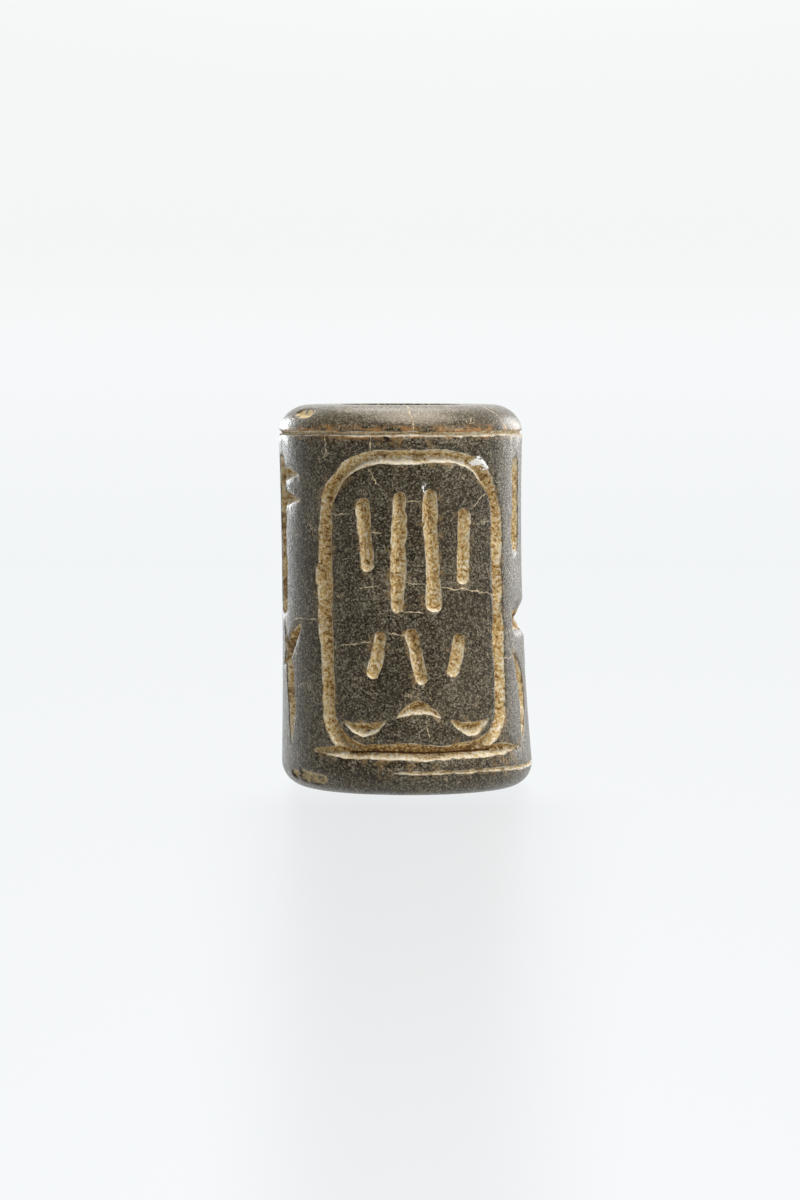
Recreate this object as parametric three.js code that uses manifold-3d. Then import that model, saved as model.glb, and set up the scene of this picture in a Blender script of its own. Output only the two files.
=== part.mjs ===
// A stone cylinder seal: a short drum, bored through its length for a cord, with its design cut
// into the wall. Millimetres and degrees. +Z runs up the bore, the origin is the middle of the
// underside, and -Y is the front. Angles run round the wall from the front, positive towards +X.
import * as THREE from "three";
import { mergeVertices } from "three/addons/utils/BufferGeometryUtils.js";
import Module from "manifold-3d";

const wasm = await Module();
wasm.setup();

// Driving dimensions

const stone = {
  height: 25,
  headRadius: 8.06,
  waistRadius: 7.89,
  footRadius: 8.32,
  headLean: -0.33, // sideways offset of the head, along X
  footLean: 0.19, // sideways offset of the foot, along X
  segments: 64,
  wallSteps: 4,
};
// Worn round edges: share is the part of the end face, from its rim to the bore's mouth, that is worn round
const headEdge = { height: 1.75, share: 0.5, steps: 5 };
const footEdge = { height: 1.7, share: 0.39, steps: 5 };
const bore = { radius: 3.2, flare: 0.6, mouthDepth: 0.7 };

const headRing = { drop: 1.8, halfWidth: 0.21, depth: 0.28, section: "vee" }; // turned line below the head
const baseBar = { height: 2.88, from: -49, to: 66, halfWidth: 0.5, depth: 0.6, taper: 3.2 };
const guideLine = {
  height: 1.58,
  from: -11.5,
  to: 100,
  halfWidth: 0.15,
  depth: 0.15,
  taper: 2.5,
  section: "vee",
};

const frame = {
  middle: 6.4,
  halfAngle: 44.9,
  belowRing: 1.4, // from the turned line to the middle of the top channel
  aboveBar: 0.04, // from the base bar to the middle of the bottom channel
  headCorner: 4.2,
  footCorner: 2.9,
  halfWidth: 0.54,
  depth: 0.55,
  steps: 64,
};
const plateMargin = 0.35; // plain border between the frame's channel and the rows

// Rows of plain strokes on the plate: low and high are shares of its height, spread is a share of its width
const uprightRow = {
  low: [0.62, 0.47, 0.47, 0.57],
  high: [0.9, 0.92, 0.93, 0.86],
  spread: 0.62,
  lean: 0.02,
  halfWidth: 0.5,
  depth: 0.45,
};
const shortRow = {
  low: [0.22, 0.2, 0.23],
  high: [0.4, 0.41, 0.39],
  spread: 0.5,
  lean: -0.07,
  halfWidth: 0.46,
  depth: 0.42,
};
const dashRow = { at: 0.07, length: 0.29, gap: 0.05, count: 3, bow: 0.04, halfWidth: 0.44, depth: 0.4 };

// Side columns: heights are shares of the field between the base bar and the turned line, turns are degrees
const hollow = { low: 0.42, high: 0.93, halfWidth: 1.0, depth: 0.65 };
const nicks = {
  at: [0.79, 0.87],
  from: -4,
  reach: 22,
  halfWidth: 0.45,
  depth: 0.4,
  taper: 1.7,
  section: "vee",
};
const crossCut = {
  low: 0.0,
  high: 0.395,
  kneeAt: 0.325,
  reach: 11,
  bow: 5,
  halfWidth: 0.56,
  depth: 0.52,
  section: "vee",
};
const sideGroove = { low: 0.63, high: 0.915, halfWidth: 0.6, depth: 0.52 };
const sideNotch = {
  at: 0.4,
  from: -6,
  reach: 44,
  halfWidth: 1.15,
  depth: 0.68,
  taper: 1.8,
  section: "vee",
};
const sideSlash = { low: 0.03, high: 0.3, bow: 6, step: 13, halfWidth: 0.45, depth: 0.48, section: "vee" };
const columns = [
  { angle: -78, hand: 1, cut: hollowColumn },
  { angle: 70, hand: 1, cut: grooveColumn },
  { angle: 110, hand: -1, cut: hollowColumn },
  { angle: 146, hand: 1, cut: grooveColumn },
  { angle: -172, hand: -1, cut: hollowColumn },
  { angle: -134, hand: 1, cut: grooveColumn },
];

const chips = [
  { end: "foot", angle: -50, rise: 0.95, width: 1.7, tall: 0.75, depth: 0.3 },
  { end: "foot", angle: -63, rise: 1.0, width: 0.8, tall: 0.55, depth: 0.25 },
  { end: "head", angle: -58, rise: 0.55, width: 1.5, tall: 0.5, depth: 0.25 },
  { end: "foot", angle: 171, rise: 1.1, width: 2.2, tall: 0.9, depth: 0.35 },
];

const sections = { round: [-48, 0, 48], vee: [0] }; // degrees round the bottom of a cut, from wall to wall
const lift = 0.2; // how far a cutter stands out of the wall
const stationGap = 1.2; // longest step along a cut
const endSteps = [0.1, 0.45]; // shares of a stroke's taper where its end is shaped

// The wall

const ringHeight = stone.height - headRing.drop;
const fieldHeight = ringHeight - baseBar.height;
const atField = (share) => baseBar.height + share * fieldHeight;

function wallRadius(z) {
  const t = THREE.MathUtils.clamp(z / stone.height, 0, 1);
  const ends = THREE.MathUtils.lerp(stone.footRadius, stone.headRadius, t);
  const waistDip = stone.waistRadius - (stone.footRadius + stone.headRadius) / 2;
  return ends + waistDip * 4 * t * (1 - t);
}

function onWall(angle, z, out) {
  const a = THREE.MathUtils.degToRad(angle);
  const r = wallRadius(z) + out;
  return [r * Math.sin(a), -r * Math.cos(a), z];
}

const arcToAngle = (arc, z) => THREE.MathUtils.radToDeg(arc / wallRadius(z));

const mouthRadius = bore.radius + bore.flare;
const edgeReach = (edge, z) => edge.share * (wallRadius(z) - mouthRadius);

function roundEdge(edge, zEnd, inward) {
  const reach = edgeReach(edge, zEnd);
  const points = [];
  for (let i = 0; i <= edge.steps; i++) {
    const a = (i / edge.steps) * (Math.PI / 2);
    const z = zEnd + inward * edge.height * (1 - Math.sin(a));
    points.push(new THREE.Vector2(wallRadius(z) - reach * (1 - Math.cos(a)), z));
  }
  return points; // from the wall to the end face
}

function drum() {
  const footTop = footEdge.height;
  const headBottom = stone.height - headEdge.height;
  const wall = [];
  for (let i = 1; i < stone.wallSteps; i++) {
    const z = THREE.MathUtils.lerp(footTop, headBottom, i / stone.wallSteps);
    wall.push(new THREE.Vector2(wallRadius(z), z));
  }
  const profile = [
    new THREE.Vector2(mouthRadius, 0),
    ...roundEdge(footEdge, 0, 1).reverse(),
    ...wall,
    ...roundEdge(headEdge, stone.height, -1),
    new THREE.Vector2(mouthRadius, stone.height),
    new THREE.Vector2(bore.radius, stone.height - bore.mouthDepth),
    new THREE.Vector2(bore.radius, bore.mouthDepth),
    new THREE.Vector2(mouthRadius, 0),
  ];
  return new THREE.LatheGeometry(profile, stone.segments).rotateX(Math.PI / 2);
}

// Cutters: each is a row of cross-sections along a line on the unrolled wall, with x an arc and y a height

function cutter(stations, section = "round", closed = false) {
  const positions = [];
  for (const s of stations) {
    const outline = [[-s.halfWidth, lift]];
    for (const degrees of sections[section]) {
      const a = THREE.MathUtils.degToRad(degrees);
      outline.push([s.halfWidth * Math.sin(a), -s.depth * Math.cos(a)]);
    }
    outline.push([s.halfWidth, lift]);
    for (const [side, out] of outline) {
      const z = s.point.y + side * s.tangent.x;
      positions.push(...onWall(arcToAngle(s.point.x - side * s.tangent.y, s.point.y), z, out));
    }
  }
  const size = sections[section].length + 2;
  const index = [];
  const steps = closed ? stations.length : stations.length - 1;
  for (let i = 0; i < steps; i++) {
    for (let j = 0; j < size; j++) {
      const here = i * size;
      const next = ((i + 1) % stations.length) * size;
      const k = (j + 1) % size;
      index.push(here + j, here + k, next + j, here + k, next + k, next + j);
    }
  }
  const last = (stations.length - 1) * size;
  for (let j = 1; !closed && j < size - 1; j++) {
    index.push(0, j + 1, j, last, last + j, last + j + 1);
  }
  const geometry = new THREE.BufferGeometry();
  geometry.setAttribute("position", new THREE.Float32BufferAttribute(positions, 3));
  geometry.setIndex(index);
  return geometry;
}

// A single cut along a curve, full in the middle and closing over the length called taper at each end
function stroke(curve, { halfWidth, depth, taper = halfWidth * 1.4, section }) {
  const length = curve.getLength();
  const reach = Math.min(taper, length / 2);
  const inner = Math.max(1, Math.ceil((length - 2 * reach) / stationGap));
  const along = endSteps.map((share) => share * reach);
  for (let i = 0; i <= inner; i++) along.push(reach + ((length - 2 * reach) * i) / inner);
  along.push(...endSteps.map((share) => length - share * reach).reverse());
  return cutter(
    along.map((distance) => {
      const fromEnd = Math.min(distance, length - distance, reach) / reach;
      const swell = Math.sqrt(1 - (1 - fromEnd) ** 2);
      return {
        point: curve.getPointAt(distance / length),
        tangent: curve.getTangentAt(distance / length),
        halfWidth: halfWidth * swell,
        depth: depth * swell,
      };
    }),
    section,
  );
}

const atAngle = (angle, z) => new THREE.Vector2(THREE.MathUtils.degToRad(angle) * wallRadius(z), z);
const straight = (from, to) => new THREE.LineCurve(from, to);

function bowed(from, to, side) {
  const middle = new THREE.Vector2().addVectors(from, to).multiplyScalar(0.5);
  return new THREE.QuadraticBezierCurve(from, middle.addScaledVector(side, 2), to);
}

// Lines and the frame

function ringCutter() {
  const stations = [];
  for (let i = 0; i < stone.segments; i++) {
    const arc = (i / stone.segments) * 2 * Math.PI * wallRadius(ringHeight);
    stations.push({
      point: new THREE.Vector2(arc, ringHeight),
      tangent: new THREE.Vector2(1, 0),
      halfWidth: headRing.halfWidth,
      depth: headRing.depth,
    });
  }
  return cutter(stations, headRing.section, true);
}

const levelLine = (line) =>
  stroke(straight(atAngle(line.from, line.height), atAngle(line.to, line.height)), line);

const frameTop = ringHeight - frame.belowRing;
const frameBottom = baseBar.height + frame.aboveBar;
const frameHalf = THREE.MathUtils.degToRad(frame.halfAngle) * stone.waistRadius;
const frameMiddle = THREE.MathUtils.degToRad(frame.middle) * stone.waistRadius;

function frameCutter() {
  const left = frameMiddle - frameHalf;
  const right = frameMiddle + frameHalf;
  const head = frame.headCorner;
  const foot = frame.footCorner;
  const outline = new THREE.Path();
  outline.moveTo(left + foot, frameBottom);
  outline.lineTo(right - foot, frameBottom);
  outline.absarc(right - foot, frameBottom + foot, foot, -Math.PI / 2, 0);
  outline.lineTo(right, frameTop - head);
  outline.absarc(right - head, frameTop - head, head, 0, Math.PI / 2);
  outline.lineTo(left + head, frameTop);
  outline.absarc(left + head, frameTop - head, head, Math.PI / 2, Math.PI);
  outline.lineTo(left, frameBottom + foot);
  outline.absarc(left + foot, frameBottom + foot, foot, Math.PI, 1.5 * Math.PI);
  const stations = [];
  for (let i = 0; i < frame.steps; i++) {
    stations.push({
      point: outline.getPointAt(i / frame.steps),
      tangent: outline.getTangentAt(i / frame.steps),
      halfWidth: frame.halfWidth,
      depth: frame.depth,
    });
  }
  return cutter(stations, frame.section, true);
}

// Rows of strokes on the plate inside the frame

const plateInset = frame.halfWidth + plateMargin;
const plateLow = frameBottom + plateInset;
const plateTall = frameTop - plateInset - plateLow;
const plateHalf = frameHalf - plateInset;
const onPlate = (across, up) =>
  new THREE.Vector2(frameMiddle + across * plateHalf, plateLow + up * plateTall);

function standingRow(row) {
  const count = row.low.length;
  return row.low.map((low, i) => {
    const across = row.spread * ((2 * i) / (count - 1) - 1);
    const lean = row.lean * (i % 2 ? 1 : -1);
    return stroke(straight(onPlate(across - lean, low), onPlate(across + lean, row.high[i])), row);
  });
}

function lyingRow(row) {
  const cuts = [];
  const span = 2 * row.length + 2 * row.gap;
  for (let i = 0; i < row.count; i++) {
    const middle = span * (i - (row.count - 1) / 2);
    const side = new THREE.Vector2(0, row.bow * plateTall * (i % 2 ? 1 : -1));
    const from = onPlate(middle - row.length, row.at);
    const to = onPlate(middle + row.length, row.at);
    cuts.push(stroke(bowed(from, to, side), { ...row, taper: row.length * plateHalf }));
  }
  return cuts;
}

// Columns of cuts round the sides and the back

function hollowColumn(angle, hand) {
  const at = (turn, share) => atAngle(angle + hand * turn, atField(share));
  const cuts = [stroke(straight(at(0, hollow.low), at(0, hollow.high)), hollow)];
  for (const share of nicks.at) {
    cuts.push(stroke(straight(at(nicks.from, share), at(nicks.reach, share)), nicks));
  }
  const taper = (crossCut.high - crossCut.low) * fieldHeight * 0.4;
  const bow = new THREE.Vector2(hand * arcOf(crossCut.bow), 0);
  const long = bowed(at(0, crossCut.high), at(crossCut.reach, crossCut.low), bow);
  const short = straight(at(2 * crossCut.reach, crossCut.high), at(0, 2 * crossCut.kneeAt - crossCut.high));
  cuts.push(stroke(long, { ...crossCut, taper }), stroke(short, { ...crossCut, taper: taper / 2 }));
  return cuts;
}

function grooveColumn(angle, hand) {
  const at = (turn, share) => atAngle(angle + hand * turn, atField(share));
  const cuts = [stroke(straight(at(0, sideGroove.low), at(0, sideGroove.high)), sideGroove)];
  const notch = straight(at(sideNotch.from, sideNotch.at), at(sideNotch.reach, sideNotch.at));
  cuts.push(stroke(notch, sideNotch));
  for (const turn of [-sideSlash.step / 2, sideSlash.step]) {
    const bow = new THREE.Vector2(hand * arcOf(sideSlash.bow), 0);
    const from = at(turn, sideSlash.high);
    const to = at(turn + sideSlash.step / 3, sideSlash.low);
    cuts.push(stroke(bowed(from, to, bow), { ...sideSlash, taper: from.distanceTo(to) / 3 }));
  }
  return cuts;
}

function arcOf(degrees) {
  return THREE.MathUtils.degToRad(degrees) * stone.waistRadius;
}

// A chip is a shallow scoop out of a worn edge
function chipCutter({ end, angle, rise, width, tall, depth }) {
  const edge = end === "foot" ? footEdge : headEdge;
  const height = end === "foot" ? rise : stone.height - rise;
  const below = 1 - Math.min(rise / edge.height, 1);
  const inset = edgeReach(edge, height) * (1 - Math.sqrt(1 - below ** 2));
  const scoop = new THREE.SphereGeometry(1, 10, 6).scale(width, depth * 2, tall);
  scoop.translate(0, -(wallRadius(height) - inset) - depth, height);
  return scoop.rotateZ(THREE.MathUtils.degToRad(angle));
}

// Joining and cutting

function solid(geometry) {
  geometry.deleteAttribute("normal");
  geometry.deleteAttribute("uv");
  const merged = mergeVertices(geometry, 1e-4);
  return new wasm.Manifold(
    new wasm.Mesh({
      numProp: 3,
      vertProperties: merged.attributes.position.array,
      triVerts: new Uint32Array(merged.index.array),
    }),
  );
}

function geometryOf(manifold) {
  const mesh = manifold.getMesh();
  const geometry = new THREE.BufferGeometry();
  geometry.setAttribute("position", new THREE.Float32BufferAttribute(mesh.vertProperties, 3));
  geometry.setIndex([...mesh.triVerts]);
  return geometry;
}

const cutters = [
  ringCutter(),
  levelLine(baseBar),
  levelLine(guideLine),
  frameCutter(),
  ...standingRow(uprightRow),
  ...standingRow(shortRow),
  ...lyingRow(dashRow),
  ...columns.flatMap(({ angle, hand, cut }) => cut(angle, hand)),
  ...chips.map(chipCutter),
];

let carved = solid(drum());
for (const geometry of cutters) carved = carved.subtract(solid(geometry));

// The stone isn't quite straight: it leans most near its foot
const leaned = carved.warp((vertex) => {
  const below = 1 - vertex[2] / stone.height;
  vertex[0] += THREE.MathUtils.lerp(stone.headLean, stone.footLean, below ** 2);
});
const sealGeometry = geometryOf(leaned).toNonIndexed();
sealGeometry.computeVertexNormals();

const steatite = new THREE.MeshStandardMaterial({
  name: "dark_steatite",
  color: new THREE.Color().setRGB(0.3, 0.28, 0.24, THREE.SRGBColorSpace),
  roughness: 0.45,
  metalness: 0,
});

const seal = new THREE.Mesh(sealGeometry, steatite);
seal.name = "cylinder_seal";

const part = new THREE.Group();
part.add(seal);

export default part;
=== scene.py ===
import math

import bpy
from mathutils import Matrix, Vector


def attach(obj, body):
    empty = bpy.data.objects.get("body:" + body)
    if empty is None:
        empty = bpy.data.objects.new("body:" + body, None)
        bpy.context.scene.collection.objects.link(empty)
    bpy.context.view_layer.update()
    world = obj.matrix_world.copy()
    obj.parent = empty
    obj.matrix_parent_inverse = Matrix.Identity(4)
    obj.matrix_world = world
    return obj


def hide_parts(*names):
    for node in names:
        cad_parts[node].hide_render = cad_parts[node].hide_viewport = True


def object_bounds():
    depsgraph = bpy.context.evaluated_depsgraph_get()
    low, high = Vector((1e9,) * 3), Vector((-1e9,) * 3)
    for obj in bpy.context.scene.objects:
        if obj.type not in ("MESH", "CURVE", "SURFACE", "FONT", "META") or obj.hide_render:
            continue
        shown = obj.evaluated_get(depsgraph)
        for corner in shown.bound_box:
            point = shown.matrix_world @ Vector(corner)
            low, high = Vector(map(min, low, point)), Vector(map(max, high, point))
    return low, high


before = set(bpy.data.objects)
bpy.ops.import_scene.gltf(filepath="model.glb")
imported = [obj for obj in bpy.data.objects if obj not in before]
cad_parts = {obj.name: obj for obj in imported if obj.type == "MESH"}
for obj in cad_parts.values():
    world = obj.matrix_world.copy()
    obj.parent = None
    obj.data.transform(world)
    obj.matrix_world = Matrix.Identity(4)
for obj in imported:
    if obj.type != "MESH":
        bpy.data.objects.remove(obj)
cadLow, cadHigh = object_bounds()
print("frame loaded")

mm = (cadHigh.z - cadLow.z) / 25.0  # metres to one millimetre of the seal's 25 mm height


# Node helpers, used by the geometry trees and by the materials

def newTree(name, kind, inputs, outputs):
    tree = bpy.data.node_groups.new(name, kind)
    for label, socket in inputs:
        tree.interface.new_socket(label, in_out="INPUT", socket_type="NodeSocket" + socket)
    for label, socket in outputs:
        tree.interface.new_socket(label, in_out="OUTPUT", socket_type="NodeSocket" + socket)
    return tree, addNode(tree, "NodeGroupInput").outputs, addNode(tree, "NodeGroupOutput").inputs


def addNode(tree, kind, inputs=None, **settings):
    made = tree.nodes.new(kind)
    for name, value in settings.items():
        setattr(made, name, value)
    for key, value in (inputs or {}).items():
        plug(tree, value, made.inputs[key])
    made.location = (190 * (len(tree.nodes) // 8), -170 * (len(tree.nodes) % 8))
    return made


def addGroup(tree, group, inputs):
    kind = "GeometryNodeGroup" if tree.bl_idname == "GeometryNodeTree" else "ShaderNodeGroup"
    return addNode(tree, kind, inputs, node_tree=group).outputs


def plug(tree, value, socket):
    if isinstance(value, bpy.types.NodeSocket):
        tree.links.new(value, socket)
    else:
        socket.default_value = value


def calc(tree, operation, *values):
    made = addNode(tree, "ShaderNodeMath", operation=operation)
    for i, value in enumerate(values):
        plug(tree, value, made.inputs[i])
    return made.outputs[0]


def times(tree, first, second):
    return calc(tree, "MULTIPLY", first, second)


def timesPlus(tree, first, second, added):
    return calc(tree, "MULTIPLY_ADD", first, second, added)


def minus(tree, first, second):
    return calc(tree, "SUBTRACT", first, second)


def vectorCalc(tree, operation, first, second):
    made = addNode(tree, "ShaderNodeVectorMath", operation=operation)
    plug(tree, first, made.inputs[0])
    plug(tree, second, made.inputs["Scale" if operation == "SCALE" else 1])
    return made.outputs["Value" if operation in ("DISTANCE", "DOT_PRODUCT") else "Vector"]


def remap(tree, value, low, high, toLow=0.0, toHigh=1.0):
    made = addNode(tree, "ShaderNodeMapRange", {"Value": value}, interpolation_type="SMOOTHSTEP")
    for key, number in (("From Min", low), ("From Max", high), ("To Min", toLow), ("To Max", toHigh)):
        plug(tree, number, made.inputs[key])
    return made.outputs["Result"]


def noise(tree, where, scale, detail=2.0, rough=0.5, output="Fac"):
    settings = {"Vector": where, "Scale": scale, "Detail": detail, "Roughness": rough}
    return addNode(tree, "ShaderNodeTexNoise", settings).outputs[output]


def combine(tree, x, y, z):
    return addNode(tree, "ShaderNodeCombineXYZ", {"X": x, "Y": y, "Z": z}).outputs[0]


def separate(tree, vector):
    made = addNode(tree, "ShaderNodeSeparateXYZ", {"Vector": vector})
    return made.outputs["X"], made.outputs["Y"], made.outputs["Z"]


def aroundAxis(tree, length, angle, z):  # an angle of 0 points to the front
    x = times(tree, length, calc(tree, "SINE", angle))
    y = times(tree, length, times(tree, calc(tree, "COSINE", angle), -1.0))
    return combine(tree, x, y, z)


def leanAt(tree, z, height, headLean, spread):
    left = minus(tree, 1.0, calc(tree, "DIVIDE", z, height))  # share of the height above
    return timesPlus(tree, times(tree, left, left), spread, headLean)


def addObject(name, data):
    made = bpy.data.objects.new(name, data)
    bpy.context.scene.collection.objects.link(made)
    return made


# Camera: the photograph's frame, its lens height and its distance

photo = {
    "width": 800,
    "height": 1200,
    "pixelsPerMm": 15.26,  # at the seal's own distance
    "axisColumn": 404.9,
    "eyeRow": 351,
    "eyeHeight": 28.48,  # mm
    "distance": 264.0,  # mm from the lens to the seal's axis
    "sensor": 36.0,
    "near": 0.01,  # metres, as far is
    "far": 20.0,
}


def makeCamera():
    data = bpy.data.cameras.new("photoCamera")
    focalPixels = photo["pixelsPerMm"] * photo["distance"]
    data.sensor_width = photo["sensor"]
    data.lens = photo["sensor"] * focalPixels / photo["height"]
    data.clip_start = photo["near"]
    data.clip_end = photo["far"]
    camera = addObject("photoCamera", data)
    pitch = math.atan((photo["height"] / 2 - photo["eyeRow"]) / focalPixels)
    side = (photo["width"] / 2 - photo["axisColumn"]) / photo["pixelsPerMm"]
    camera.location = (side * mm, -photo["distance"] * mm, photo["eyeHeight"] * mm)
    camera.rotation_euler = (math.pi / 2 - pitch, 0, 0)
    bpy.context.scene.camera = camera


# The stone's form in millimetres, with nearly the solid's sizes: it stays just inside the solid

stone = {
    "height": 25.0,
    "headRadius": 8.045,
    "waistRadius": 7.875,
    "footRadius": 8.305,
    "headLean": -0.29,
    "footLean": 0.19,
    "headEdge": (1.95, 0.5),  # height, and the share of the end face that it takes
    "footEdge": (1.7, 0.39),
    "boreRadius": 3.2,
    "mouthFlare": 0.6,
    "mouthDepth": 0.7,
    "endInset": 0.005,
    "columns": 896,
    "rowStep": 0.06,
    "coarseStep": 0.3,
    "innerRun": -99.0,  # the bore's place along the profile, out of every cut's reach
    "spinRadius": 20.0,  # of the circle that is swept first, any that is larger than the seal
    "uneven": 0.05,  # slow swell of the hand-ground wall
    "unevenScale": 0.22,
    "unevenMiddle": 0.62,
    "pitting": 0.012,
    "pitScale": 4.0,
    "pitRange": (0.62, 0.75),
    "wobble": 0.13,  # how far a cut strays from its line
    "triangles": 190000,  # left after thinning
}


def wallRadius(z):
    t = min(max(z / stone["height"], 0), 1)
    ends = stone["footRadius"] + (stone["headRadius"] - stone["footRadius"]) * t
    dip = stone["waistRadius"] - (stone["footRadius"] + stone["headRadius"]) / 2
    return ends + dip * 4 * t * (1 - t)


def between(start, end, step):
    count = max(1, math.ceil((end - start).length / step))
    return [start.lerp(end, i / count) for i in range(count)]


def roundedEdge(edge, endHeight, inward):
    edgeHeight, share = edge
    reach = share * (wallRadius(endHeight) - stone["boreRadius"] - stone["mouthFlare"])
    count = round((edgeHeight + reach) / stone["rowStep"])
    points = []
    for i in range(count + 1):
        a = i / count * math.pi / 2
        z = endHeight + inward * edgeHeight * (1 - math.sin(a))
        points.append(Vector((wallRadius(z) - reach * (1 - math.cos(a)), z)))
    return points  # from the wall to the end face


def turnedProfile():
    low, top = stone["endInset"], stone["height"] - stone["endInset"]
    step, coarse = stone["rowStep"], stone["coarseStep"]
    bore = stone["boreRadius"]
    mouth = bore + stone["mouthFlare"]
    foot = roundedEdge(stone["footEdge"], low, 1)[::-1]
    head = roundedEdge(stone["headEdge"], top, -1)
    wall = [Vector((wallRadius(p.y), p.y)) for p in between(foot[-1], head[0], step)[1:]]
    outer = between(Vector((mouth, low)), foot[0], coarse) + foot + wall + head
    outer += between(head[-1], Vector((mouth, top)), coarse)[1:]
    headMouth = Vector((bore, top - stone["mouthDepth"]))
    footMouth = Vector((bore, stone["mouthDepth"]))
    inner = between(Vector((mouth, top)), headMouth, coarse) + [headMouth]  # straight from here
    inner += between(footMouth, Vector((mouth, low)), coarse)
    return outer, inner


def pointObject(name, rows, edges, attributes):
    mesh = bpy.data.meshes.new(name)
    mesh.from_pydata(rows, edges, [])
    for label, values in attributes.items():
        mesh.attributes.new(label, "FLOAT", "POINT").data.foreach_set("value", values)
    return addObject(name, mesh)


def makeProfile():
    outer, inner = turnedProfile()
    ring = outer + inner
    run = [0.0]
    for i in range(1, len(outer)):
        run.append(run[-1] + (outer[i] - outer[i - 1]).length)
    middle = min(range(len(outer)), key=lambda i: abs(outer[i].y - stone["height"] / 2))
    shift = outer[middle].y - run[middle]  # on the wall the run along the profile is the height
    run = [value + shift for value in run] + [stone["innerRun"]] * len(inner)
    count = len(ring)
    out = []
    for i in range(count):
        along = (ring[(i + 1) % count] - ring[i - 1]).normalized()
        out.append(Vector((along.y, -along.x)))
    attributes = {
        "ringRadius": [p.x for p in ring],
        "ringHeight": [p.y for p in ring],
        "outRadial": [n.x for n in out],
        "outUp": [n.y for n in out],
        "runHeight": run,
        "wallRadius": [wallRadius(p.y) for p in ring],
        "outside": [1.0] * len(outer) + [0.0] * len(inner),
    }
    rows = [(p.x, 0, p.y) for p in ring]
    return pointObject("profile", rows, [(i, (i + 1) % count) for i in range(count)], attributes)


# The cuts: lines on the unrolled wall, x an arc and y a height, with a half width and a depth at each point

lines = {
    "headRing": {"drop": 1.8, "halfWidth": 0.19, "depth": 0.26},
    "baseBar": {"height": 2.88, "from": -49, "to": 66, "halfWidth": 0.52, "depth": 0.62, "taper": 3.2,
                "pointed": True},
    "guideLine": {"height": 1.58, "from": -11.5, "to": 100, "halfWidth": 0.15, "depth": 0.13, "taper": 2.5,
                  "pointed": True},
}
panel = {
    "middle": 6.4,
    "halfAngle": 44.9,
    "belowRing": 1.42,
    "aboveBar": 0.04,
    "headCorner": 4.2,
    "footCorner": 2.9,
    "cornerSteps": 60,
    "halfWidth": 0.55,
    "narrow": 0.16,  # by how much the channel narrows at its top
    "depth": 0.55,
    "margin": 0.35,
    "slip": {"from": (-41.5, 15.0), "to": (-39.5, 9.6), "halfWidth": 0.52, "depth": 0.5, "taper": 1.0},
}
uprightRow = {
    "low": (0.62, 0.47, 0.47, 0.57),
    "high": (0.9, 0.92, 0.93, 0.86),
    "spread": 0.62,
    "lean": 0.02,
    "halfWidth": 0.5,
    "depth": 0.45,
}
shortRow = {
    "low": (0.22, 0.2, 0.23),
    "high": (0.4, 0.41, 0.39),
    "spread": 0.5,
    "lean": -0.07,
    "halfWidth": 0.46,
    "depth": 0.42,
}
dashRow = {"at": 0.07, "length": 0.29, "gap": 0.05, "count": 3, "bow": 0.04, "halfWidth": 0.46,
           "depth": 0.42, "pointed": True}
sideCuts = {
    "hollow": {"low": 0.42, "high": 0.93, "halfWidth": 1.0, "depth": 0.65},
    "nicks": {"at": (0.79, 0.87), "from": -6, "reach": 22, "halfWidth": 0.5, "depth": 0.42, "taper": 2.2,
              "pointed": True},
    "crossCut": {"low": 0.0, "high": 0.395, "kneeAt": 0.325, "reach": 11, "bow": 5, "taperShare": 0.4,
                 "halfWidth": 0.62, "depth": 0.56, "pointed": True},
    "sideGroove": {"low": 0.62, "high": 0.92, "halfWidth": 0.62, "depth": 0.52},
    "sideNotch": {"at": 0.4, "from": -6, "reach": 44, "halfWidth": 1.2, "depth": 0.7, "taper": 1.8},
    "sideSlash": {"low": 0.03, "high": 0.3, "bow": 6, "step": 13, "halfWidth": 0.55, "depth": 0.52,
                  "pointed": True},
}
columns = (  # angle, hand and kind
    (-78, 1, "hollow"),
    (70, 1, "groove"),
    (110, -1, "hollow"),
    (146, 1, "groove"),
    (-172, -1, "hollow"),
    (-134, 1, "groove"),
)
chips = (  # run is the place along the profile, a height where the wall is plain
    {"angle": -50, "run": 0.95, "length": 3.0, "halfWidth": 0.55, "depth": 0.3},
    {"angle": -63, "run": 1.0, "length": 1.3, "halfWidth": 0.4, "depth": 0.25},
    {"angle": -58, "run": 24.7, "length": 2.4, "halfWidth": 0.5, "depth": 0.22},
    {"angle": 171, "run": 1.1, "length": 3.6, "halfWidth": 0.7, "depth": 0.35},
)
pathStep = 0.05
cutEnds = {
    "taper": 1.4,  # how long an end is, in half widths, where the cut has no taper of its own
    "point": 0.7,  # how fast a pointed end opens
    "blunt": 4,  # how square a blunt end is
}

ringHeight = stone["height"] - lines["headRing"]["drop"]
barHeight = lines["baseBar"]["height"]
plateRadius = stone["waistRadius"]


def onWall(angle, z):
    return Vector((math.radians(angle) * wallRadius(z), z))


def inField(angle, share):
    return onWall(angle, barHeight + share * (ringHeight - barHeight))


def straight(start, end):
    return between(start, end, pathStep) + [end]


def bowed(start, end, side):
    middle = (start + end) / 2 + side * 2
    count = max(2, math.ceil((end - start).length / pathStep))
    points = []
    for i in range(count + 1):
        t = i / count
        points.append(start * (1 - t) ** 2 + middle * 2 * t * (1 - t) + end * t ** 2)
    return points


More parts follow.
